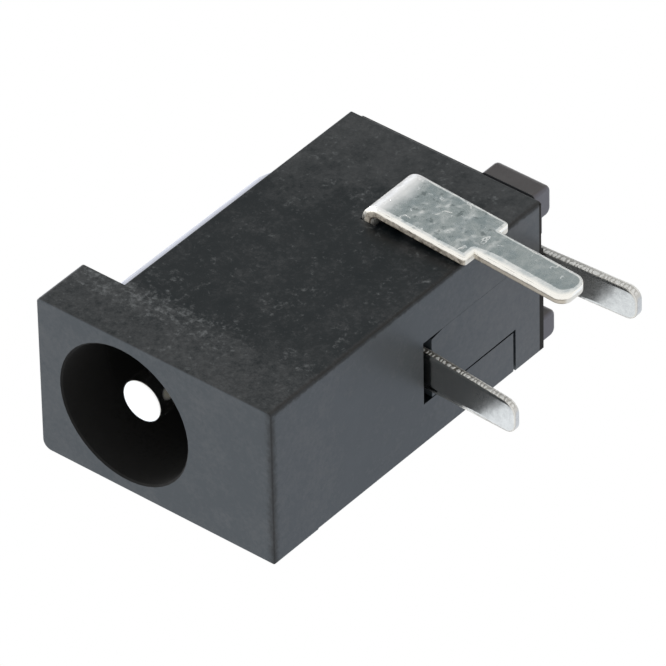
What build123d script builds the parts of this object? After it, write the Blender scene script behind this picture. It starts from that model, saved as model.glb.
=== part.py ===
from build123d import *
import os
from math import radians, tan

os.makedirs("parts", exist_ok=True)

# The board is z = 0 and the mouth faces -Y. The origin is the middle of the seating face.
# A depth is measured back from the mouth. The near side is +X, where the switch terminal is.
# All sizes are in millimetres.

# Housing
body_width = 4.98
body_length = 11.24
body_height = 6.45
flange_width = 5.04
flange_height = 7.88
flange_thickness = 1.8
flange_near_radius = 0.14
flange_far_radius = 0.28
corner_radius = 0.06
seat_corner_radius = 0.1
edge_radius = 0.04
bore_height = 5.0
bore_diameter = 4.25
bore_depth = 7.7
mouth_chamfer = 0.05
hump_radius = 2.78
hump_length = 8.45
hump_end_radius = 0.45
cavity_width = 3.2
pocket_step = 0.2
cover_plug_length = 1.34

# Bottom slot, which the sleeve spring and the cover's tongue share
slot_centre = -0.125
slot_width = 2.05
slot_depth = 6.22
tongue_height = 1.6
foot_length = 1.24

# Rear cover
fit = 0.02
seam = 0.06
tongue_side_gap = 0.006
tongue_front_gap = 0.035
foot_gap = 0.1
foot_corner_radius = 0.03
tongue_end_wedge = 0.09
tongue_end_wedge_length = 0.5
plate_thickness = 0.26
plate_side_inset = 0.3
plate_top_inset = 0.06
plate_bottom = 0.25
plate_corner_radius = 0.14
ear_reach = 0.77
ear_top = 2.06
ear_corner_radius = 0.22
ear_edge_radius = 0.12
near_ear_width = 0.97
near_ear_lift = 0.28
far_ear_width = 0.86
far_ear_lift = 0.14

# Centre pin
pin_diameter = 1.3
pin_recess = 0.7
pin_edge_radius = 0.07
collar_diameter = 1.64
collar_clearance = 0.05
tail_diameter = 0.96
rivet_diameter = 1.7
rivet_height = 0.22
rivet_edge_radius = 0.17
hole_clearance = 0.01

# Pin terminal, the strip behind the back
pin_terminal_sheet = 0.25
pin_terminal_recess = plate_thickness
pin_terminal_pad_width = 1.9
pin_terminal_pad_top = 0.95
pin_terminal_strip_width = 1.7
pin_terminal_shoulder = 0.35
pin_terminal_bend_radius = 1.0
pin_terminal_corner_radius = 0.3
pin_tab_centre = 0.25
pin_tab_width = 1.02
pin_tab_length = 3.0
pin_tab_lean = 3.0

# Sleeve spring, with the middle tab
spring_sheet = 0.2
spring_width = 1.25
spring_tab_gap = 0.13
spring_tab_tip_width = 1.0
spring_tab_lean = 3.7
spring_bend_radius = 0.3
spring_fold_gap = 0.28
spring_fold_height = 0.72
spring_contact_reach = 1.74
spring_contact_height = 3.36
spring_nose_length = 0.5
spring_nose_height = 3.0

# Switch terminal, the strap on the side
strap_sheet = 0.3
strap_gap = 0.04
strap_width = 1.9
strap_inset = 2.5
strap_fold_height = 3.3
strap_fold_radius = 0.36
strap_shoulder = 0.15
strap_lean = 3.7
switch_tab_width = 1.06
arm_start = 1.45
arm_joggle_drop = 0.15
arm_joggle_length = 0.3
arm_end = 0.05
arm_width = 0.9
contact_gap = 0.03
side_slot_clearance = 0.03

# Terminal tabs, and the edges of all stamped pieces
tab_length = 3.1
tab_tip_radius = 0.37
neck_radius = 0.12
stamped_edge_radius = 0.05
smooth_join_angle = 25.0

# Worked out from the sizes above
slot_left = slot_centre - slot_width / 2
slot_right = slot_centre + slot_width / 2
tongue_side = slot_right - tongue_side_gap
cover_seat_depth = body_length - cover_plug_length
foot_depth = body_length - foot_length
strap_depth = body_length - strap_inset
cavity_top = bore_height + collar_diameter / 2 + collar_clearance
pocket_width = cavity_width + 2 * pocket_step
pocket_top = cavity_top + pocket_step
spring_tab_depth = slot_depth + spring_tab_gap + spring_sheet / 2
tongue_depth = slot_depth + spring_tab_gap + spring_sheet + fit
spring_fold_depth = cover_seat_depth - spring_fold_gap
spring_contact_depth = strap_depth - spring_contact_reach
spring_nose_depth = spring_contact_depth - spring_nose_length
plate_depth = body_length + seam
plate_back_depth = plate_depth + plate_thickness
terminal_depth = plate_back_depth - pin_terminal_recess
strap_face = body_width / 2 + strap_gap
strap_middle = strap_face + strap_sheet / 2


def across(depth):
    """The upright plane across the jack at a depth behind the mouth, facing the mouth."""
    return Plane.XZ.offset(body_length / 2 - depth)


def back(depth):
    """The y of a depth behind the mouth."""
    return depth - body_length / 2


def round_corners(outline, width, height, far, near):
    """Round the lower and the upper corner of an upright rectangle, on the far side and the near side."""
    for side, radii in ((-width / 2, far), (width / 2, near)):
        for level, radius in zip((0, height), radii):
            fillet(outline.vertices().sort_by_distance((side, level))[0], radius=radius)


def outline_edges(stamping, sheet):
    """The edges along a stamped sheet's outline, without those across its thickness or at its bends."""
    found = ShapeList()
    for edge in stamping.edges().filter_by(lambda each: abs(each.length - sheet) > fit):
        beside = [face for face in stamping.faces() if any(edge.is_same(e) for e in face.edges())]
        normals = [face.normal_at(edge @ 0.5) for face in beside]
        if normals[0].get_angle(normals[1]) > smooth_join_angle:
            found.append(edge)
    return found


# Barrel hump: a round-ended cylinder about the bore, as wide as the body
with BuildPart() as barrel_hump:
    with BuildSketch(Plane.XY.offset(bore_height)):
        with BuildLine():
            Polyline(
                (0, back(flange_thickness / 2)),
                (hump_radius, back(flange_thickness / 2)),
                (hump_radius, back(hump_length)),
                (0, back(hump_length)),
                close=True,
            )
        make_face()
    revolve(axis=Axis((0, 0, bore_height), (0, 1, 0)))
    fillet(barrel_hump.edges().sort_by(Axis.Y)[-1], radius=hump_end_radius)
    with BuildSketch(across(hump_length)):
        with Locations((0, bore_height)):
            Rectangle(body_width, 2 * hump_radius)
    extrude(amount=hump_length, mode=Mode.INTERSECT)

# Housing
with BuildPart() as housing:
    with BuildSketch(across(body_length)) as block:
        with Locations((0, body_height / 2)):
            Rectangle(body_width, body_height)
        round_corners(
            block,
            body_width,
            body_height,
            far=(corner_radius, corner_radius),
            near=(seat_corner_radius, corner_radius),
        )
    extrude(amount=body_length - flange_thickness / 2)
    fillet(housing.faces().sort_by(Axis.Y)[-1].edges(), radius=edge_radius)
    with BuildSketch(across(flange_thickness)) as flange:
        with Locations((0, flange_height / 2)):
            Rectangle(flange_width, flange_height)
        round_corners(
            flange,
            flange_width,
            flange_height,
            far=(corner_radius, flange_far_radius),
            near=(seat_corner_radius, flange_near_radius),
        )
    extrude(amount=flange_thickness)
    fillet(housing.faces().sort_by(Axis.Y)[0].edges(), radius=edge_radius)
    add(barrel_hump.part)
    # Bore
    with BuildSketch(across(bore_depth)):
        with Locations((0, bore_height)):
            Circle(bore_diameter / 2)
    extrude(amount=bore_depth, mode=Mode.SUBTRACT)
    mouth = housing.edges().filter_by(GeomType.CIRCLE).group_by(Axis.Y)[0].sort_by(SortBy.RADIUS)[-1]
    chamfer(mouth, length=mouth_chamfer)
    # Cavity behind the bore, and the wider pocket that the cover's plug fills
    with BuildSketch(across(cover_seat_depth)):
        with Locations((0, (tongue_height + cavity_top) / 2)):
            Rectangle(cavity_width, cavity_top - tongue_height)
    extrude(amount=cover_seat_depth - bore_depth, mode=Mode.SUBTRACT)
    with BuildSketch(across(body_length)):
        with Locations((0, (tongue_height + pocket_top) / 2)):
            Rectangle(pocket_width, pocket_top - tongue_height)
    extrude(amount=body_length - cover_seat_depth, mode=Mode.SUBTRACT)
    # Bottom slot, open to the back, and the step for the cover's foot
    with BuildSketch():
        with Locations((slot_centre, back((slot_depth + body_length) / 2))):
            Rectangle(slot_width, body_length - slot_depth)
    extrude(amount=bore_height, mode=Mode.SUBTRACT)
    with BuildSketch():
        with Locations((slot_left, back(body_length))):
            Rectangle(body_width, body_length - foot_depth, align=(Align.MAX, Align.MAX))
    extrude(amount=tongue_height, mode=Mode.SUBTRACT)
    # Side slot for the switch terminal's arm
    with BuildSketch(Plane.YZ.offset(slot_centre)):
        with Locations((back(strap_depth), strap_fold_height + side_slot_clearance)):
            Rectangle(
                strap_width + 2 * side_slot_clearance,
                strap_sheet + arm_joggle_drop + 2 * side_slot_clearance,
                align=(Align.CENTER, Align.MAX),
            )
    extrude(amount=body_width, mode=Mode.SUBTRACT)
housing.part.label = "housing"
export_step(housing.part, "parts/housing.step")

# Rear cover
with BuildPart() as rear_cover:
    # Tongue along the slot, and the foot that steps out to the far side
    with BuildSketch():
        with BuildLine():
            Polyline(
                (slot_left + tongue_front_gap, back(tongue_depth)),
                (tongue_side - tongue_end_wedge, back(tongue_depth)),
                (tongue_side, back(tongue_depth + tongue_end_wedge_length)),
                (tongue_side, back(plate_depth)),
                (-body_width / 2, back(plate_depth)),
                (-body_width / 2, back(foot_depth + foot_gap)),
                (slot_left + seam, back(foot_depth + foot_gap)),
                close=True,
            )
        make_face()
    extrude(amount=tongue_height - fit)
    fillet(
        rear_cover.edges().filter_by(Axis.Y).group_by(Axis.X)[0].group_by(Axis.Z)[0],
        radius=foot_corner_radius,
    )
    fillet(
        rear_cover.edges().filter_by(Axis.X).group_by(Axis.Y)[0].group_by(Axis.Z)[-1],
        radius=spring_bend_radius - spring_sheet / 2 - fit,
    )
    with BuildSketch():
        with Locations((tongue_side, back(body_length))):
            Rectangle(
                tongue_side - slot_left - seam,
                body_length - cover_seat_depth,
                align=(Align.MAX, Align.MAX),
            )
    extrude(amount=bore_height)
    # Plug that closes the back of the bore
    with BuildSketch(across(plate_back_depth)):
        with Locations((0, (tongue_height + pocket_top) / 2)):
            Rectangle(pocket_width - 2 * fit, pocket_top - tongue_height - 2 * fit)
    extrude(amount=plate_back_depth - cover_seat_depth)
    # Back plate
    with BuildSketch(across(plate_back_depth)) as plate:
        with Locations((0, body_height - plate_top_inset)):
            Rectangle(
                body_width - 2 * plate_side_inset,
                body_height - plate_top_inset - plate_bottom,
                align=(Align.CENTER, Align.MAX),
            )
        fillet(plate.vertices(), radius=plate_corner_radius)
    extrude(amount=plate_thickness)
    # Ears at the two lower corners
    for side, width, lift in ((1, near_ear_width, near_ear_lift), (-1, far_ear_width, far_ear_lift)):
        with BuildSketch(Plane.XY.offset(lift)) as ear:
            with Locations((side * (body_width - width) / 2, back(plate_depth))):
                Rectangle(width, ear_reach - seam, align=(Align.CENTER, Align.MIN))
            fillet(ear.vertices().group_by(Axis.Y)[-1], radius=ear_corner_radius)
        extrude(amount=ear_top - lift)
    fillet(rear_cover.edges().group_by(Axis.Y)[-1], radius=ear_edge_radius)
    # Shallow channel for the pin terminal, and the hole for the pin's tail
    with BuildSketch(across(plate_back_depth)):
        with Locations((0, bore_height + pin_terminal_pad_top + fit)):
            Rectangle(
                pin_terminal_pad_width + 2 * fit,
                body_height,
                align=(Align.CENTER, Align.MAX),
            )
        with Locations((pin_tab_centre, bore_height)):
            Rectangle(
                pin_terminal_strip_width + 2 * fit,
                body_height,
                align=(Align.CENTER, Align.MAX),
            )
    extrude(amount=pin_terminal_recess, mode=Mode.SUBTRACT)
    with BuildSketch(across(plate_back_depth)):
        with Locations((0, bore_height)):
            Circle(tail_diameter / 2 + hole_clearance)
    extrude(amount=plate_back_depth - cover_seat_depth, mode=Mode.SUBTRACT)
rear_cover.part.label = "rear_cover"
export_step(rear_cover.part, "parts/rear_cover.step")

# Centre pin, turned about the bore's axis
with BuildPart() as centre_pin:
    rivet_depth = terminal_depth + pin_terminal_sheet
    with BuildSketch(Plane.XY.offset(bore_height)) as turned:
        with BuildLine():
            Polyline(
                (0, back(pin_recess)),
                (pin_diameter / 2, back(pin_recess)),
                (pin_diameter / 2, back(bore_depth)),
                (collar_diameter / 2, back(bore_depth)),
                (collar_diameter / 2, back(cover_seat_depth)),
                (tail_diameter / 2, back(cover_seat_depth)),
                (tail_diameter / 2, back(rivet_depth)),
                (rivet_diameter / 2, back(rivet_depth)),
                (rivet_diameter / 2, back(rivet_depth + rivet_height)),
                (0, back(rivet_depth + rivet_height)),
                close=True,
            )
        make_face()
        fillet(turned.vertices().group_by(Axis.Y)[0].sort_by(Axis.X)[-1], radius=pin_edge_radius)
        fillet(turned.vertices().group_by(Axis.Y)[-1].sort_by(Axis.X)[-1], radius=rivet_edge_radius)
    revolve(axis=Axis((0, 0, bore_height), (0, 1, 0)))
centre_pin.part.label = "centre_pin"
export_step(centre_pin.part, "parts/centre_pin.step")

# Pin terminal: a flat strip under the rivet, whose tab leans back below the cover
with BuildPart() as pin_terminal:
    middle = back(terminal_depth + pin_terminal_sheet / 2)
    with BuildSketch(Plane.YZ.offset(-body_width / 2)):
        with BuildLine():
            FilletPolyline(
                (middle, bore_height + pin_terminal_pad_top),
                (middle, 0),
                (middle + tan(radians(pin_tab_lean)) * pin_tab_length, -pin_tab_length),
                radius=pin_terminal_bend_radius,
            )
        trace(line_width=pin_terminal_sheet)
    extrude(amount=body_width)
    with BuildSketch(across(2 * body_length)) as strip:
        with Locations((0, bore_height + pin_terminal_pad_top)):
            Rectangle(
                pin_terminal_pad_width,
                2 * pin_terminal_pad_top,
                align=(Align.CENTER, Align.MAX),
            )
        with Locations((pin_tab_centre, pin_terminal_shoulder)):
            Rectangle(
                pin_terminal_strip_width,
                bore_height - pin_terminal_shoulder,
                align=(Align.CENTER, Align.MIN),
            )
        fillet(strip.vertices().group_by(Axis.Y)[-1], radius=pin_terminal_corner_radius)
        fillet(strip.vertices().group_by(Axis.Y)[0], radius=pin_terminal_corner_radius)
        with Locations((pin_tab_centre, -pin_tab_length)):
            Rectangle(
                pin_tab_width,
                pin_tab_length + bore_height / 2,
                align=(Align.CENTER, Align.MIN),
            )
        fillet(strip.vertices().group_by(Axis.Y)[0], radius=tab_tip_radius)
        with Locations((0, bore_height)):
            Circle(tail_diameter / 2 + hole_clearance, mode=Mode.SUBTRACT)
    extrude(amount=2 * body_length, mode=Mode.INTERSECT)
    fillet(outline_edges(pin_terminal.part, pin_terminal_sheet), radius=stamped_edge_radius)
pin_terminal.part.label = "pin_terminal"
export_step(pin_terminal.part, "parts/pin_terminal.step")

# Sleeve spring: the middle tab, a flat on the tongue, and the leaf folded forward over it
with BuildPart() as sleeve_spring:
    flat_height = tongue_height + spring_sheet / 2
    arm_underside = strap_fold_height - strap_sheet - arm_joggle_drop
    leaf_knee_depth = strap_depth - arm_width / 2
    leaf_knee_height = arm_underside - contact_gap - spring_sheet / 2
    with BuildSketch(Plane.YZ.offset(slot_centre - spring_width / 2)):
        with BuildLine():
            FilletPolyline(
                (back(spring_tab_depth - tan(radians(spring_tab_lean)) * tab_length), -tab_length),
                (back(spring_tab_depth), 0),
                (back(spring_tab_depth), flat_height),
                (back(spring_fold_depth), flat_height),
                (back(spring_fold_depth), flat_height + spring_fold_height),
                (back(leaf_knee_depth), leaf_knee_height),
                (back(spring_contact_depth), spring_contact_height),
                (back(spring_nose_depth), spring_nose_height),
                radius=spring_bend_radius,
            )
        trace(line_width=spring_sheet)
    extrude(amount=spring_width)
    with BuildSketch(across(body_length)) as outline:
        with BuildLine():
            Polyline(
                (slot_centre - spring_tab_tip_width / 2, -tab_length),
                (slot_centre + spring_tab_tip_width / 2, -tab_length),
                (slot_centre + spring_width / 2, 0),
                (slot_centre + spring_width / 2, body_height),
                (slot_centre - spring_width / 2, body_height),
                (slot_centre - spring_width / 2, 0),
                close=True,
            )
        make_face()
        fillet(outline.vertices().group_by(Axis.Y)[0], radius=tab_tip_radius)
    extrude(amount=body_length, mode=Mode.INTERSECT)
    fillet(outline_edges(sleeve_spring.part, spring_sheet), radius=stamped_edge_radius)
sleeve_spring.part.label = "sleeve_spring"
export_step(sleeve_spring.part, "parts/sleeve_spring.step")

# Switch terminal: the strap on the side wall, the fold into it, and the inner arm
with BuildPart() as switch_terminal:
    arm_middle = strap_fold_height - strap_sheet / 2
    with BuildSketch(across(strap_depth + strap_width)):
        with BuildLine():
            FilletPolyline(
                (strap_middle - tan(radians(strap_lean)) * tab_length, -tab_length),
                (strap_middle + tan(radians(strap_lean)) * arm_middle, arm_middle),
                (arm_start, arm_middle),
                (arm_start - arm_joggle_length, arm_middle - arm_joggle_drop),
                (arm_end, arm_middle - arm_joggle_drop),
                radius=strap_fold_radius,
            )
        trace(line_width=strap_sheet)
    extrude(amount=2 * strap_width)
    with BuildSketch(Plane.YZ) as front:
        with Locations((back(strap_depth), -strap_shoulder)):
            Rectangle(
                strap_width,
                strap_fold_height + strap_shoulder,
                align=(Align.CENTER, Align.MIN),
            )
        fillet(front.vertices().group_by(Axis.Y)[0], radius=neck_radius)
        with Locations((back(strap_depth), -tab_length)):
            Rectangle(switch_tab_width, tab_length, align=(Align.CENTER, Align.MIN))
        fillet(front.vertices().group_by(Axis.Y)[0], radius=tab_tip_radius)
    extrude(amount=body_width, mode=Mode.INTERSECT)
    with BuildSketch(Plane.XY.offset(-tab_length)):
        with Locations((arm_start, back(strap_depth))):
            Rectangle(body_width, 2 * strap_width, align=(Align.MIN, Align.CENTER))
            Rectangle(body_width, arm_width, align=(Align.MAX, Align.CENTER))
    extrude(amount=tab_length + body_height, mode=Mode.INTERSECT)
    fillet(outline_edges(switch_terminal.part, strap_sheet), radius=stamped_edge_radius)
switch_terminal.part.label = "switch_terminal"
export_step(switch_terminal.part, "parts/switch_terminal.step")
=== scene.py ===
import math

import bpy
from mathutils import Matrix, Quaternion, Vector


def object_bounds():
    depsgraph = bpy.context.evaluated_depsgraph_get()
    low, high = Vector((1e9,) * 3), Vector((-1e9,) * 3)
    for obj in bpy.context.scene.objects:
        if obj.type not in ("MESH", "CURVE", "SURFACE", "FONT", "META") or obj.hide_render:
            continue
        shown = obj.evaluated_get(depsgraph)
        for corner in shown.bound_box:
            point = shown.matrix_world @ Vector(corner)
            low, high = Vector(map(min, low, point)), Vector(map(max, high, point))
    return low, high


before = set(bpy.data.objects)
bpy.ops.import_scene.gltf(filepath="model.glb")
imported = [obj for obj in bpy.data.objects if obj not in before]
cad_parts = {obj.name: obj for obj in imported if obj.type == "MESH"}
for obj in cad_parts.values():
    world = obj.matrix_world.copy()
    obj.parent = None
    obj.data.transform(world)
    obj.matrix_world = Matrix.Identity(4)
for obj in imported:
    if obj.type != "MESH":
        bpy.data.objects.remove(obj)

mm = 0.001
cadLow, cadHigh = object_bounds()
print("frame loaded:", ", ".join(sorted(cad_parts)))


class Socket:
    # one node socket, so that shader maths reads as plain sums
    def __init__(self, graph, link):
        self.graph = graph
        self.link = link

    def sum(self, operation, first, second=0.0):
        return self.graph.node("Math", {"operation": operation}, {0: first, 1: second})

    def __add__(self, other):
        return self.sum("ADD", self, other)

    def __radd__(self, other):
        return self.sum("ADD", other, self)

    def __sub__(self, other):
        return self.sum("SUBTRACT", self, other)

    def __rsub__(self, other):
        return self.sum("SUBTRACT", other, self)

    def __mul__(self, other):
        return self.sum("MULTIPLY", self, other)

    def __rmul__(self, other):
        return self.sum("MULTIPLY", other, self)

    def __pow__(self, other):
        return self.sum("POWER", self, other)

    def __abs__(self):
        return self.sum("ABSOLUTE", self)


class Graph:
    # the nodes of one material, or of the sky
    def __init__(self, tree):
        self.tree = tree

    def node(self, kind, settings, values, output=0):
        made = self.tree.nodes.new("ShaderNode" + kind)
        for name, value in settings.items():
            setattr(made, name, value)
        for name, value in values.items():
            self.feed(made.inputs[name], value)
        return Socket(self, made.outputs[output])

    def feed(self, socket, value):
        if isinstance(value, Socket):
            self.tree.links.new(value.link, socket)
        else:
            socket.default_value = value

    # 0 below the start, 1 above the end, and a soft step between
    def step(self, value, start, end):
        settings = {"interpolation_type": "SMOOTHSTEP", "clamp": True}
        return self.node("MapRange", settings, {"Value": value, "From Min": start, "From Max": end})

    # 1 where the value is within the width of the middle, fading over the soft distance
    def band(self, value, middle, width, soft):
        return 1 - self.step(abs(value - middle), width, width + soft)

    def mix(self, factor, first, second):
        values = {0: factor}
        for index, value in ((6, first), (7, second)):
            values[index] = value if isinstance(value, Socket) else (*value, 1.0)
        return self.node("Mix", {"data_type": "RGBA"}, values, 2)

    def least(self, first, second):
        return self.node("Math", {"operation": "MINIMUM"}, {0: first, 1: second})

    def most(self, first, second):
        return self.node("Math", {"operation": "MAXIMUM"}, {0: first, 1: second})

    # how far two lengths reach together, as the long side of a square corner
    def reach(self, first, second):
        return (first * first + second * second) ** 0.5

    # 1 for these kinds of ray
    def seenBy(self, firstRay, *otherRays):
        seen = self.node("LightPath", {}, {}, firstRay)
        for ray in otherRays:
            seen = self.most(seen, self.node("LightPath", {}, {}, ray))
        return seen


class Finish(Graph):
    # one material, still without a shader
    def __init__(self, name):
        self.material = bpy.data.materials.new(name)
        self.material.use_nodes = True
        super().__init__(self.material.node_tree)
        self.tree.nodes.clear()
        self.output = self.tree.nodes.new("ShaderNodeOutputMaterial")

    def show(self, shader):
        self.feed(self.output.inputs["Surface"], shader)

    def place(self):
        return self.node("TexCoord", {}, {}, "Object")


class Paint(Finish):
    # one material of the jack: its shader, and what its patterns read, in mm
    def __init__(self, name, **plain):
        super().__init__(name)
        self.shader = self.tree.nodes.new("ShaderNodeBsdfPrincipled")
        self.show(Socket(self, self.shader.outputs["BSDF"]))
        self.paintOn(**plain)
        self.spot = self.node("VectorMath", {"operation": "SCALE"}, {0: self.place(), "Scale": 1 / mm})
        self.x, self.y, self.z = self.split(self.spot)
        self.faceX, self.faceY, self.faceZ = self.split(self.node("TexCoord", {}, {}, "Normal"))

    def split(self, vector):
        return [self.node("SeparateXYZ", {}, {0: vector}, axis) for axis in "XYZ"]

    def paintOn(self, **values):
        for name, value in values.items():
            self.feed(self.shader.inputs[name.replace("_", " ")], value)

    # grain size in mm; the value is about 0.5, give or take 0.2
    def noise(self, grain, seed, detail=2.0, roughness=0.5):
        values = {
            "Vector": self.spot,
            "W": seed,
            "Scale": 1 / grain,
            "Detail": detail,
            "Roughness": roughness,
        }
        return self.node("TexNoise", {"noise_dimensions": "4D"}, values, "Fac")

    # height times depth in mm, as a shaded relief
    def bump(self, height, depth):
        return self.node("Bump", {}, {"Height": height, "Distance": depth * mm, "Strength": 1.0})


moulding = {
    "smooth": (0.031, 0.040, 0.048),  # the moulded skin on the front and the bottom, painted lighter than the near side as painted light
    # pale: the lighter tone of the skin, for its clouds and for the painted sheen on the bottom
    "pale": (0.088, 0.094, 0.101),
    "shadedSide": (0.0025, 0.0045, 0.006),  # the near side, painted darker than the front and the bottom as painted shade
    "dusty": (0.080, 0.082, 0.084),
    "speck": (0.23, 0.245, 0.25),
    "darkLines": (0.009, 0.0075, 0.006),
    "bore": (0.0035, 0.0032, 0.0028),
    "mouth": -5.62,  # where the faces lie, in mm
    "nearSide": 2.5,
    "flangeBack": -3.82,
    "coverSeam": 5.49,
    "humpFoot": 6.47,
    "boreHeight": 5.0,
    "boreRadius": 2.18,
    "boreEnd": 2.06,
    "smudgePlace": (-1.8, 1.75),  # x and z on the front
    "frontDarkReach": 0.26,  # how far the dark lines reach from the lower edges
    "sideDarkReach": 0.17,
    "flangeDust": 0.37,
    "rearDust": 0.43,
    "roughness": 0.4,
    "grainDepth": 0.0025,
}


def makeMoulding(name):
    paint = Paint(name, Metallic=0.0, IOR=1.45)
    y, z = paint.y, paint.z
    back = moulding["flangeBack"]
    cloud = paint.noise(1.5, 3.0, 4.0, 0.6)
    patch = paint.noise(0.5, 23.0, 4.0, 0.65)
    grain = paint.noise(0.13, 5.0, 4.0, 0.75)
    onSide = paint.step(paint.faceX, 0.55, 0.8)
    onFlange = 1 - paint.step(y + (patch - 0.5) * 1.2, back - 0.2, back + 0.4)
    onRear = paint.step(y + z * 0.35 + (cloud - 0.5) * 6, 2.4, 6.0)
    # dust on the near side: thick on the flange, thin in the middle, patchy towards the back
    dust = paint.most(onFlange * moulding["flangeDust"], onRear * moulding["rearDust"]) + 0.01
    dust = dust + (cloud - 0.5) * 0.6 + (patch - 0.5) * 0.8 + (grain - 0.5) * (1.2 + onFlange * 0.8)
    # the near side's skin is painted darker than the other faces as painted shade, with the dust over
    # it
    sideShadeAndDust = paint.mix(dust, moulding["shadedSide"], moulding["dusty"])
    # pale specks, most of them along the back edge of the flange
    nearEdge = paint.band(y, back - 0.1, 0.25, 0.75) * paint.step(z, 1.0, 4.8)
    scuffs = paint.step(paint.noise(0.8, 21.0, 2.0), 0.52, 0.7) * 0.6
    crowd = paint.most(nearEdge, scuffs)
    fleck = paint.noise(0.15, 11.0, 4.0, 0.7)
    specks = paint.step(fleck + crowd * 0.12, 0.56, 0.88)
    sideShadeAndDust = paint.mix(specks * 0.75, sideShadeAndDust, moulding["speck"])
    # the other faces keep the moulded skin, painted lighter than the near side, with faint clouds and
    # a smudge low on the front
    below = 1 - paint.step(paint.faceZ, -0.8, -0.5)
    smudgeX, smudgeZ = moulding["smudgePlace"]
    frontSmudge = 1 - paint.step(paint.reach(paint.x - smudgeX, z - smudgeZ), 0.05, 0.45)
    pale = 0.17 + (cloud - 0.5) * 1.3 + (patch - 0.5) * 1.2 + (grain - 0.5) * 1.5
    pale = pale + frontSmudge * grain * 0.5
    # lighter higher up, on all faces but the bottom
    pale = pale + (1 - below) * paint.step(z, 3.5, 7.0) * 0.12
    # a painted sheen on the bottom: lighter towards the back, and darker in a band in front of the
    # middle tab
    pale = pale + below * (paint.step(y, 1.0, 5.0) * 0.48 - paint.band(y, -0.9, 1.0, 2.0) * 0.22)
    color = paint.mix(pale, moulding["smooth"], moulding["pale"])
    color = paint.mix(onSide, color, sideShadeAndDust)
    # dark thin broken lines along the lower edges, and painted shade in the seam along the back edge
    # of the bottom
    wander = (paint.noise(0.16, 31.0, 3.0, 0.7) - 0.5) * 0.22
    fromFront = paint.reach(z, y - moulding["mouth"]) + wander * 1.5
    frontEdge = 1 - paint.step(fromFront, 0.0, moulding["frontDarkReach"])
    fromSide = paint.reach(z, paint.x - moulding["nearSide"]) + wander
    sideEdge = 1 - paint.step(fromSide, 0.05, moulding["sideDarkReach"])
    # painted shade in the seam between the housing and the cover, along the back edge of the bottom
    seamShade = paint.step(y, moulding["coverSeam"], moulding["coverSeam"] + 0.04)
    seamShade = seamShade * below * (1 - paint.step(z, 0.1, 0.15))
    darkLines = paint.most(paint.most(frontEdge * 0.6, sideEdge * 0.6), seamShade)
    color = paint.mix(darkLines, color, moulding["darkLines"])
    # painted shade: the bore is painted almost black, with its edge
    fromAxis = paint.reach(paint.x, z - moulding["boreHeight"])
    shadedBore = 1 - paint.step(fromAxis, moulding["boreRadius"], moulding["boreRadius"] + 0.02)
    pastMouth = paint.step(y, moulding["mouth"] + 0.02, moulding["mouth"] + 0.07)
    shadedBore = shadedBore * paint.most(pastMouth, paint.step(paint.faceY, -0.95, -0.85))
    shadedBore = shadedBore * (1 - paint.step(y, moulding["boreEnd"], moulding["boreEnd"] + 0.04))
    color = paint.mix(shadedBore, color, moulding["bore"])
    onHump = paint.step(z, moulding["humpFoot"], moulding["humpFoot"] + 0.08)
    onHump = onHump * paint.step(y, back, back + 0.05)
    roughness = moulding["roughness"] + (cloud + patch - 1.0) * 0.2 + paint.most(darkLines, shadedBore) * 0.5
    roughness = roughness + onSide * (specks * 0.3 - 0.05) - onHump * 0.18
    skin = paint.bump(grain, moulding["grainDepth"] * (1 - onHump))
    paint.paintOn(Base_Color=color, Roughness=roughness, Normal=skin)
    return paint, color


cover = {
    "ear": (0.098, 0.088, 0.087),
    "earUnderLit": (0.135, 0.128, 0.150),
    "earStart": 5.66,
    "earTop": 2.06,
}


def makeCover():
    paint, color = makeMoulding("coverMoulding")
    onEar = paint.step(paint.y, cover["earStart"], cover["earStart"] + 0.05)
    onEar = onEar * (1 - paint.step(paint.z, cover["earTop"], cover["earTop"] + 0.1) * 0.7)
    # painted light: the undersides of the ears are painted lighter
    litUnderside = 1 - paint.step(paint.faceZ, -0.8, -0.3)
    earColor = paint.mix(litUnderside, cover["ear"], cover["earUnderLit"])
    paint.paintOn(Base_Color=paint.mix(onEar * 0.85, color, earColor))
    return paint


plating = {
    # cream: the bright upper half of the punched edges, and the painted highlights along the near edge
    # of the strap and round the tab faces
    "cream": (0.93, 0.91, 0.85),
    "torn": (0.74, 0.68, 0.58),  # the torn half of a punched edge
    "tornDark": (0.14, 0.11, 0.08),
    "crownHighlight": (0.95, 0.94, 0.90),  # painted highlight on the beads along the edges of the two inner tabs
    "hollowShade": (0.60, 0.58, 0.54),
    "beadPitch": 0.13,
    "roughness": 0.25,
    "tabRoughness": 0.2,
    "relief": 0.03,
}

# tab: middle across, half width, tip height and tip radius
strap = {
    "middle": 3.12,
    "half": 0.95,
    "shoulder": -0.15,
    "outerX": 2.83,  # the outer face at the board, and how it leans out above
    "lean": 0.0647,
    "foldRadius": 0.51,
    "foldCentre": 2.79,
    "tab": (3.12, 0.53, -3.1, 0.37),
    "foldStart": 2.45,
    "foldEnd": 3.35,
    "foldDrop": 4.2,
    "tin": (0.70, 0.71, 0.69),
    "dull": (0.48, 0.52, 0.525),
    "scar": (0.24, 0.27, 0.27),
    # painted highlight over the fold
    "foldHighlightWhite": (0.93, 0.93, 0.92),
    "relief": 0.035,
}
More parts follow.
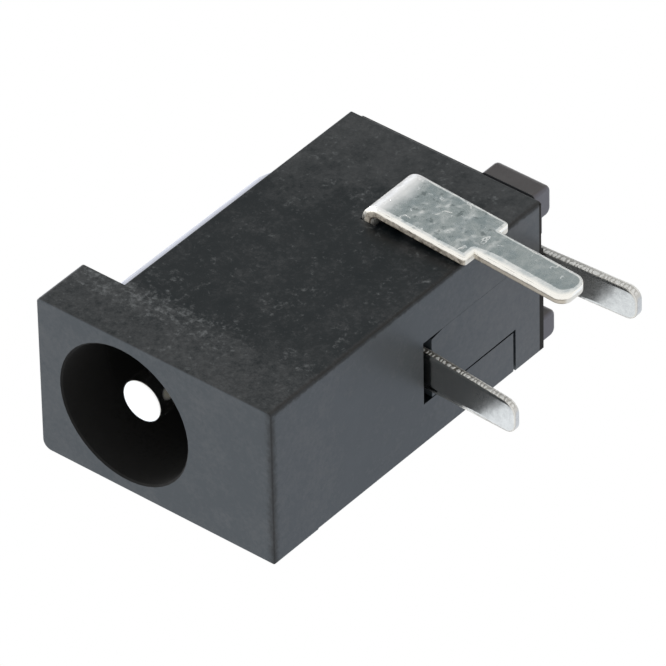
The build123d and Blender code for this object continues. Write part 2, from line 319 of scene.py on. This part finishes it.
# front: the front face at the board, and how it leans below; hollowShade: painted shade between the
# beads near the board
# tilt: how fast the relief falls with height, which tilts the shading of the faces
middleTab = {
    "tab": (-0.125, 0.53, -3.1, 0.37),
    "front": (0.73, 0.0647),
    "tilt": 2.2,
    "sheet": 0.2,
    "hollowShade": (0.13, 0.12, 0.10),
    "tin": (0.595, 0.585, 0.56),
    "dull": (0.52, 0.51, 0.49),
}
backTab = {
    "tab": (0.25, 0.51, -3.0, 0.37),
    "front": (5.685, -0.0524),
    "tilt": 1.7,
    "sheet": 0.25,
    "hollowShade": (0.46, 0.45, 0.42),
    "tin": (0.57, 0.56, 0.53),
    "dull": (0.495, 0.485, 0.465),
}


def tabDepth(paint, across, tab):
    # how far a point lies inside the outline of a tab with a rounded tip
    middle, half, tip, radius = tab
    sideways = paint.most(abs(across - middle) - (half - radius), 0.0)
    down = paint.most((tip + radius) - paint.z, 0.0)
    return radius - paint.reach(sideways, down)


def makeStrapPlating():
    paint = Paint("strapPlating")
    z = paint.z
    # how far inside the outline: the wide part, the shoulders and the tab
    inTab = paint.most(tabDepth(paint, paint.y, strap["tab"]), 0.0)
    neck = paint.reach(inTab, paint.most(z - strap["shoulder"], 0.0))
    inside = paint.least(strap["half"] - abs(paint.y - strap["middle"]), neck)
    inside = inside + (paint.noise(0.3, 4.0, 2.0) - 0.5) * 0.05
    # how deep below the outer face, on the edges
    centreX = paint.least(z, strap["foldCentre"]) * strap["lean"]
    centreX = centreX + (strap["outerX"] - strap["foldRadius"])
    outwards = paint.most(paint.x - centreX, 0.0)
    deep = strap["foldRadius"] - paint.reach(outwards, paint.most(z - strap["foldCentre"], 0.0))
    deep = deep + (paint.noise(0.25, 33.0, 3.0, 0.7) - 0.5) * 0.05
    onFace = paint.step(abs(paint.faceX), 0.6, 0.8)
    # rolled edges: broad towards the front and on the tab, narrow towards the back
    towardsFront = 1 - paint.step(paint.y - strap["middle"], -0.35, 0.05)
    onTab = 1 - paint.step(z, -0.7, 0.0)
    flat = paint.step(inside, -0.03, 0.11 + towardsFront * (0.06 + onTab * 0.12))
    rollDepth = 1 + towardsFront * 1.3
    edgeRoll = 1 - paint.step(deep, -0.03, 0.17)
    fold = paint.step(z, strap["foldStart"], strap["foldEnd"])
    # dents: an uneven face with a few thin strokes, calmer on the tab
    dented = paint.step(z, -1.6, 0.4) * 0.6 + 0.4
    waves = (paint.noise(0.4, 6.0, 1.0, 0.4) - 0.5) * 1.7 + (paint.noise(0.9, 36.0, 2.0) - 0.5) * 1.0
    strokes = paint.band(paint.noise(0.5, 2.0, 2.0, 0.55), 0.5, 0.003, 0.02)
    strokes = strokes * paint.step(paint.noise(0.4, 14.0, 2.0), 0.55, 0.65)
    roll = (1 - flat) * onFace + edgeRoll * (1 - onFace)
    dents = (waves - strokes * 0.35) * dented * flat * onFace
    height = dents - roll * rollDepth - fold * strap["foldDrop"]
    mottle = paint.noise(0.14, 8.0, 4.0, 0.75)
    stain = paint.noise(0.45, 28.0, 3.0, 0.6)
    color = paint.mix(paint.step(mottle * 0.55 + stain * 0.45, 0.4, 0.62), strap["tin"], strap["dull"])
    scar = paint.step(paint.noise(0.2, 41.0, 2.0, 0.6), 0.56, 0.7) * (dented - 0.35)
    color = paint.mix(scar, color, strap["scar"])
    # painted highlights: a cream line along the near edge, and pale white over the fold
    nearEdgeHighlight = (1 - paint.step(inside, 0.01, 0.11 + onTab * 0.06)) * (0.15 + towardsFront * 0.85)
    foldHighlight = paint.step(z + (stain - 0.5) * 0.5, 2.3, 2.75)
    color = paint.mix(nearEdgeHighlight * onFace, color, plating["cream"])
    color = paint.mix(foldHighlight * onFace * 0.9, color, strap["foldHighlightWhite"])
    # the edges: bright above, then torn and dark below
    streaks = (paint.noise(0.13, 19.0, 4.0, 0.75) - 0.47) * (4.5 - onTab * 3.9)
    tornPart = paint.step(deep, 0.08 + onTab * 0.03, 0.12 + onTab * 0.03)
    tornLine = paint.band(deep, 0.13, 0.01, 0.03) * (0.2 + onTab * 0.5)
    tornShade = tornLine + paint.step(deep, 0.23, 0.29) + streaks
    torn = paint.mix(tornShade, plating["torn"], plating["tornDark"])
    onFrontEdge = 1 - paint.step(paint.faceY, -0.7, -0.4)
    edgeColor = paint.mix(tornPart * onFrontEdge, plating["cream"], torn)
    color = paint.mix(onFace, edgeColor, color)
    tornPart = tornPart * (1 - onFace)
    paint.paintOn(
        Base_Color=color,
        Roughness=plating["roughness"] + (mottle - 0.5) * 0.3 + tornPart * 0.3 + foldHighlight * 0.15,
        Metallic=1 - tornPart * 0.8 - foldHighlight * onFace * 0.45,
        Normal=paint.bump(height, strap["relief"]),
    )
    return paint


def makeTabPlating(name, stamped):
    paint = Paint(name)
    inside = tabDepth(paint, paint.x, stamped["tab"]) + (paint.noise(0.25, 4.0, 2.0) - 0.5) * 0.04
    onFace = paint.step(abs(paint.faceY), 0.6, 0.8)
    onEdge = paint.step(abs(paint.faceX), 0.5, 0.75) * (1 - paint.step(paint.z, 0.1, 0.4))
    rolled = paint.step(inside, -0.02, 0.12)
    waves = (paint.noise(0.7, 6.0, 2.0) - 0.5) * 0.3
    mottle = paint.noise(0.16, 8.0, 4.0, 0.7)
    color = paint.mix(paint.step(mottle, 0.35, 0.7), stamped["tin"], stamped["dull"])
    # painted highlight: a cream line along the rolled edges of the faces
    rim = onFace * (1 - paint.step(inside, 0.0, 0.08))
    color = paint.mix(rim * 0.6, color, plating["cream"])
    # a row of beads along the front half of the punched edges, then a dark line and a smooth half; the
    # crests and the smooth half are painted bright as highlights, the hollows between the beads
    # painted darker as shade, darkest near the board
    along = paint.z + (paint.noise(0.35, 17.0, 3.0) - 0.5) * 0.45
    turns = along * (2 * math.pi / plating["beadPitch"])
    beads = paint.node("Math", {"operation": "SINE"}, {0: turns})
    beads = beads * 0.5 + 0.5
    uneven = (paint.noise(0.07, 27.0, 3.0, 0.7) - 0.5) * 0.7
    uneven = uneven + (paint.noise(0.5, 37.0, 2.0) - 0.5) * 1.8
    front, lean = stamped["front"]
    deep = (paint.y - paint.z * lean - front) * (1 / stamped["sheet"]) + uneven * 0.08
    nearBoard = paint.step(paint.z, -2.3, -1.0)
    between = paint.mix(nearBoard, plating["hollowShade"], stamped["hollowShade"])
    crestHighlight = paint.step(beads + uneven - abs(deep - 0.25) * 1.6, -0.1, 0.4)
    beaded = paint.mix(crestHighlight, between, plating["crownHighlight"])
    darkLine = paint.band(deep, 0.6, 0.03, 0.07)
    smooth = paint.mix(paint.most(nearBoard * 0.75, darkLine), plating["crownHighlight"], between)
    color = paint.mix(onEdge, color, paint.mix(paint.step(deep, 0.5, 0.6), beaded, smooth))
    # the faces are shaded at a slight tilt, so that they mirror the bottom of the jack further down
    tilt = paint.z * -stamped["tilt"]
    paint.paintOn(
        Base_Color=color,
        Roughness=plating["tabRoughness"] + (mottle - 0.5) * 0.2 + onEdge * 0.15,
        Metallic=1 - onEdge * 0.7,
        Normal=paint.bump((rolled + waves) * onFace + beads * onEdge * 0.3 + tilt, plating["relief"]),
    )
    return paint


pin = {
    "nickel": (0.88, 0.88, 0.86),
    # a painted glint: a small cream spot on the side of the pin, just inside the mouth
    "paintedGlint": (0.92, 0.88, 0.74),
    "glintPlace": (0.3, -4.5, 4.42),
    "roughness": 0.2,
}


def makePinPlating():
    paint = Paint("pinPlating")
    glintX, glintY, glintZ = pin["glintPlace"]
    away = paint.reach(paint.reach(paint.x - glintX, paint.z - glintZ), (paint.y - glintY) * 0.8)
    # painted glint on the side of the pin
    paintedGlint = 1 - paint.step(away, 0.08, 0.2)
    color = paint.mix(paintedGlint, pin["nickel"], pin["paintedGlint"])
    turned = paint.noise(0.12, 4.0, 2.0)
    roughness = pin["roughness"] + (turned - 0.5) * 0.15 + paintedGlint * 0.4
    paint.paintOn(Base_Color=color, Roughness=roughness, Metallic=1 - paintedGlint * 0.8)
    return paint


def dress(node, paint):
    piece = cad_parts[node]
    piece.data.materials.clear()
    piece.data.materials.append(paint.material)


dress("housing", makeMoulding("housingMoulding")[0])
dress("rear_cover", makeCover())
dress("centre_pin", makePinPlating())
dress("switch_terminal", makeStrapPlating())
dress("sleeve_spring", makeTabPlating("middleTabPlating", middleTab))
dress("pin_terminal", makeTabPlating("backTabPlating", backTab))
print("materials done")

# the studio: white all round, a dark ceiling card for the near side and three soft boxes
studio = {
    "skyFill": 0.6,
    "cardDistance": 200 * mm,
    "floorSize": 4.0,
    "floorColor": (0.86, 0.86, 0.86),
    "lampSize": 120 * mm,
    "lampHeight": 220 * mm,
    "lampPower": 0.35,
}

# each card: its direction, its colour, and the two angles between which it fades to white
cards = {
    "ceilingCard": ((0.64, 0.587, 0.497), (0.315, 0.362, 0.370), 11.0, 20.0),
    "frontBox": ((-0.63, -0.60, 0.50), (1.26, 1.34, 1.43), 24.0, 40.0),
    "lowBox": ((-0.63, 0.60, -0.50), (0.94, 1.0, 1.1), 24.0, 40.0),
    "rimBox": ((-0.30, 0.60, 0.745), (1.5, 1.55, 1.74), 14.0, 26.0),
}


def makeSky():
    sky = bpy.data.worlds.new("whiteSky")
    bpy.context.scene.world = sky
    sky.use_nodes = True
    graph = Graph(sky.node_tree)
    asSeen = graph.seenBy("Is Camera Ray", "Is Glossy Ray", "Is Transmission Ray")
    background = sky.node_tree.nodes["Background"]
    graph.feed(background.inputs["Color"], (1.0, 1.0, 1.0, 1.0))
    strength = graph.node("Mix", {}, {0: asSeen, 2: studio["skyFill"], 3: 1.0})
    graph.feed(background.inputs["Strength"], strength)


def addPlane(name, size, place, facing):
    bpy.ops.object.select_all(action="DESELECT")
    turn = Vector(facing).to_track_quat("Z", "Y").to_euler()
    bpy.ops.mesh.primitive_plane_add(size=size, location=place, rotation=turn)
    plane = bpy.context.object
    plane.name = name
    return plane


def makeFloor():
    floor = addPlane("floor", studio["floorSize"], (0, 0, cadLow.z), (0, 0, 1))
    finish = Finish("paleFloor")
    pale = finish.node("BsdfDiffuse", {}, {"Color": (*studio["floorColor"], 1.0)})
    clear = finish.node("BsdfTransparent", {}, {})
    # the floor shows to the camera from above, and to nothing else
    settings = {"operation": "SUBTRACT", "use_clamp": True}
    fromBelow = finish.node("NewGeometry", {}, {}, "Backfacing")
    fromAbove = finish.node("Math", settings, {0: finish.seenBy("Is Camera Ray"), 1: fromBelow})
    finish.show(finish.node("MixShader", {}, {0: fromAbove, 1: clear, 2: pale}))
    floor.data.materials.append(finish.material)


def makeCard(name, way, color, coreAngle, rimAngle):
    # a card that only reflections see, its colour fading to the white of the sky
    way = Vector(way).normalized()
    distance = studio["cardDistance"]
    core = distance * math.tan(math.radians(coreAngle))
    rim = distance * math.tan(math.radians(rimAngle))
    card = addPlane(name, rim * 2, way * distance, -way)
    finish = Finish(name)
    away = finish.node("VectorMath", {"operation": "LENGTH"}, {0: finish.place()}, "Value")
    tint = finish.mix(finish.step(away, core, rim), color, (1.0, 1.0, 1.0))
    finish.show(finish.node("Emission", {}, {"Color": tint}))
    card.data.materials.append(finish.material)
    card.visible_camera = False
    card.visible_diffuse = False
    card.visible_shadow = False
    card.visible_transmission = False


def makeLamp():
    bpy.ops.object.light_add(type="AREA", location=(0, 0, studio["lampHeight"]))
    lamp = bpy.context.object
    lamp.name = "softLamp"
    lamp.data.size = studio["lampSize"]
    lamp.data.energy = studio["lampPower"]


makeSky()
makeFloor()
for cardName, card in cards.items():
    makeCard(cardName, *card)
makeLamp()
print("studio done")

camera = {
    "distance": 253.0 * mm,
    "azimuth": 46.327,
    "elevation": -29.903,
    "roll": -63.656,
    "aim": (0.381 * mm, -0.001 * mm, 2.549 * mm),
    "lens": 522.1,
    "nearest": 10 * mm,
    "farthest": 10.0,
}


def makeCamera():
    around = math.radians(camera["azimuth"])
    up = math.radians(camera["elevation"])
    way = Vector((math.sin(around) * math.cos(up), -math.cos(around) * math.cos(up), math.sin(up)))
    place = Vector(camera["aim"]) + way * camera["distance"]
    bpy.ops.object.camera_add(location=place)
    made = bpy.context.object
    made.rotation_mode = "QUATERNION"
    roll = Quaternion((0, 0, 1), math.radians(camera["roll"]))
    made.rotation_quaternion = way.to_track_quat("Z", "Y") @ roll
    made.data.lens = camera["lens"]
    made.data.clip_start = camera["nearest"]
    made.data.clip_end = camera["farthest"]
    bpy.context.scene.camera = made


makeCamera()
bpy.context.scene.view_settings.view_transform = "Standard"
print("camera done")
